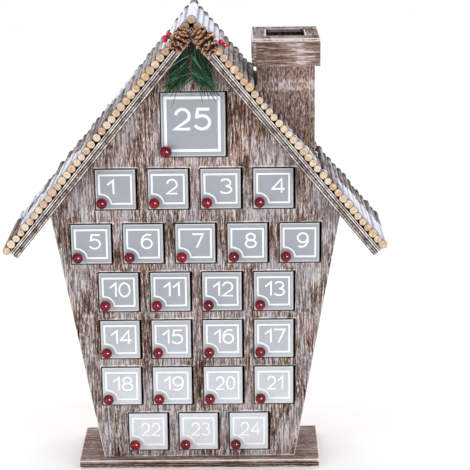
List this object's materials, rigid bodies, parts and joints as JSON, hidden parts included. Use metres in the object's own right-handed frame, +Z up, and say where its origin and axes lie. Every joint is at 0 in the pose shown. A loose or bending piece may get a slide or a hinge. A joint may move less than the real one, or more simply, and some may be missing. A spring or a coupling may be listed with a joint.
{
  "type": "advent calendar",
  "caption": "Wooden house-shaped advent calendar: numbered hinged doors over small compartments, a roof laid with twigs, a boarded chimney and a pine cone sprig.",
  "frame": {"origin": "centre of the base board's underside, on the surface that the calendar stands on", "axes": "+Z up, +Y from the doors towards the back, +X to the viewer's right"},
  "size_m": [0.3788, 0.1318, 0.4713],
  "materials": {
    "weathered_wood": "brown stained wood with a worn white wash",
    "plywood": "brown stained plywood with pale plies at its edges",
    "tray_wood": "plain thin board",
    "door_paint": "matt pale grey paint on wood",
    "twig_bark": "grey-brown bark with pale cut ends",
    "pine_cone": "dry brown cone scales",
    "pine_needle": "dark green needles",
    "red_lacquer": "glossy dark red"
  },
  "bodies": {
    "house": {"base_board": "weathered_wood", "front_panel": "weathered_wood", "back_panel": "plywood", "side_wall_left": "weathered_wood", "side_wall_right": "weathered_wood", "roof_board_left": "plywood", "roof_board_right": "plywood", "tray_row_1": "tray_wood", "tray_row_2": "tray_wood", "tray_row_3": "tray_wood", "tray_row_4": "tray_wood", "tray_row_5": "tray_wood", "tray_row_6": "tray_wood", "tray_gable": "tray_wood", "chimney_left": "weathered_wood", "chimney_right": "weathered_wood", "chimney_front": "weathered_wood", "chimney_back": "weathered_wood", "collar_left": "weathered_wood", "collar_right": "weathered_wood", "collar_front": "weathered_wood", "collar_back": "weathered_wood", "chimney_cap": "weathered_wood", "twig_ridge": "twig_bark", "twigs_left_upper": "twig_bark", "twigs_left_lower": "twig_bark", "twigs_right_upper": "twig_bark", "twigs_right_front": "twig_bark", "twigs_right_back": "twig_bark", "twigs_right_lower": "twig_bark", "cone_left": "pine_cone", "cone_right": "pine_cone", "needle_spray": "pine_needle", "berries_left": "red_lacquer", "berries_right": "red_lacquer"},
    "door_01": {"door_01": "door_paint"},
    "door_02": {"door_02": "door_paint"},
    "door_03": {"door_03": "door_paint"},
    "door_04": {"door_04": "door_paint"},
    "door_05": {"door_05": "door_paint"},
    "door_06": {"door_06": "door_paint"},
    "door_07": {"door_07": "door_paint"},
    "door_08": {"door_08": "door_paint"},
    "door_09": {"door_09": "door_paint"},
    "door_10": {"door_10": "door_paint"},
    "door_11": {"door_11": "door_paint"},
    "door_12": {"door_12": "door_paint"},
    "door_13": {"door_13": "door_paint"},
    "door_14": {"door_14": "door_paint"},
    "door_15": {"door_15": "door_paint"},
    "door_16": {"door_16": "door_paint"},
    "door_17": {"door_17": "door_paint"},
    "door_18": {"door_18": "door_paint"},
    "door_19": {"door_19": "door_paint"},
    "door_20": {"door_20": "door_paint"},
    "door_21": {"door_21": "door_paint"},
    "door_22": {"door_22": "door_paint"},
    "door_23": {"door_23": "door_paint"},
    "door_24": {"door_24": "door_paint"},
    "door_25": {"door_25": "door_paint"}
  },
  "joints": [
    {"name": "door_01_hinge", "type": "hinge", "parent": "house", "child": "door_01", "pos_m": [-0.0608, -0.0304, 0.2965], "axis": [0, 0, 1], "range_deg": [0, 105]},
    {"name": "door_02_hinge", "type": "hinge", "parent": "house", "child": "door_02", "pos_m": [-0.0088, -0.0304, 0.2965], "axis": [0, 0, 1], "range_deg": [0, 105]},
    {"name": "door_03_hinge", "type": "hinge", "parent": "house", "child": "door_03", "pos_m": [0.0432, -0.0304, 0.2965], "axis": [0, 0, 1], "range_deg": [0, 105]},
    {"name": "door_04_hinge", "type": "hinge", "parent": "house", "child": "door_04", "pos_m": [0.0952, -0.0304, 0.2965], "axis": [0, 0, 1], "range_deg": [0, 105]},
    {"name": "door_05_hinge", "type": "hinge", "parent": "house", "child": "door_05", "pos_m": [-0.0868, -0.0304, 0.2403], "axis": [0, 0, 1], "range_deg": [0, 105]},
    {"name": "door_06_hinge", "type": "hinge", "parent": "house", "child": "door_06", "pos_m": [-0.0348, -0.0304, 0.2403], "axis": [0, 0, 1], "range_deg": [0, 105]},
    {"name": "door_07_hinge", "type": "hinge", "parent": "house", "child": "door_07", "pos_m": [0.0172, -0.0304, 0.2403], "axis": [0, 0, 1], "range_deg": [0, 105]},
    {"name": "door_08_hinge", "type": "hinge", "parent": "house", "child": "door_08", "pos_m": [0.0692, -0.0304, 0.2403], "axis": [0, 0, 1], "range_deg": [0, 105]},
    {"name": "door_09_hinge", "type": "hinge", "parent": "house", "child": "door_09", "pos_m": [0.1212, -0.0304, 0.2403], "axis": [0, 0, 1], "range_deg": [0, 105]},
    {"name": "door_10_hinge", "type": "hinge", "parent": "house", "child": "door_10", "pos_m": [-0.0608, -0.0304, 0.1895], "axis": [0, 0, 1], "range_deg": [0, 105]},
    {"name": "door_11_hinge", "type": "hinge", "parent": "house", "child": "door_11", "pos_m": [-0.0088, -0.0304, 0.1895], "axis": [0, 0, 1], "range_deg": [0, 105]},
    {"name": "door_12_hinge", "type": "hinge", "parent": "house", "child": "door_12", "pos_m": [0.0432, -0.0304, 0.1895], "axis": [0, 0, 1], "range_deg": [0, 105]},
    {"name": "door_13_hinge", "type": "hinge", "parent": "house", "child": "door_13", "pos_m": [0.0952, -0.0304, 0.1895], "axis": [0, 0, 1], "range_deg": [0, 105]},
    {"name": "door_14_hinge", "type": "hinge", "parent": "house", "child": "door_14", "pos_m": [-0.0608, -0.0304, 0.1387], "axis": [0, 0, 1], "range_deg": [0, 105]},
    {"name": "door_15_hinge", "type": "hinge", "parent": "house", "child": "door_15", "pos_m": [-0.0088, -0.0304, 0.1387], "axis": [0, 0, 1], "range_deg": [0, 105]},
    {"name": "door_16_hinge", "type": "hinge", "parent": "house", "child": "door_16", "pos_m": [0.0432, -0.0304, 0.1387], "axis": [0, 0, 1], "range_deg": [0, 105]},
    {"name": "door_17_hinge", "type": "hinge", "parent": "house", "child": "door_17", "pos_m": [0.0952, -0.0304, 0.1387], "axis": [0, 0, 1], "range_deg": [0, 105]},
    {"name": "door_18_hinge", "type": "hinge", "parent": "house", "child": "door_18", "pos_m": [-0.0608, -0.0304, 0.0879], "axis": [0, 0, 1], "range_deg": [0, 105]},
    {"name": "door_19_hinge", "type": "hinge", "parent": "house", "child": "door_19", "pos_m": [-0.0088, -0.0304, 0.0879], "axis": [0, 0, 1], "range_deg": [0, 105]},
    {"name": "door_20_hinge", "type": "hinge", "parent": "house", "child": "door_20", "pos_m": [0.0432, -0.0304, 0.0879], "axis": [0, 0, 1], "range_deg": [0, 105]},
    {"name": "door_21_hinge", "type": "hinge", "parent": "house", "child": "door_21", "pos_m": [0.0952, -0.0304, 0.0879], "axis": [0, 0, 1], "range_deg": [0, 105]},
    {"name": "door_22_hinge", "type": "hinge", "parent": "house", "child": "door_22", "pos_m": [-0.0348, -0.0304, 0.0371], "axis": [0, 0, 1], "range_deg": [0, 105]},
    {"name": "door_23_hinge", "type": "hinge", "parent": "house", "child": "door_23", "pos_m": [0.0172, -0.0304, 0.0371], "axis": [0, 0, 1], "range_deg": [0, 105]},
    {"name": "door_24_hinge", "type": "hinge", "parent": "house", "child": "door_24", "pos_m": [0.0692, -0.0304, 0.0371], "axis": [0, 0, 1], "range_deg": [0, 105]},
    {"name": "door_25_hinge", "type": "hinge", "parent": "house", "child": "door_25", "pos_m": [0.02885, -0.0304, 0.36135], "axis": [0, 0, 1], "range_deg": [0, 105]}
  ]
}
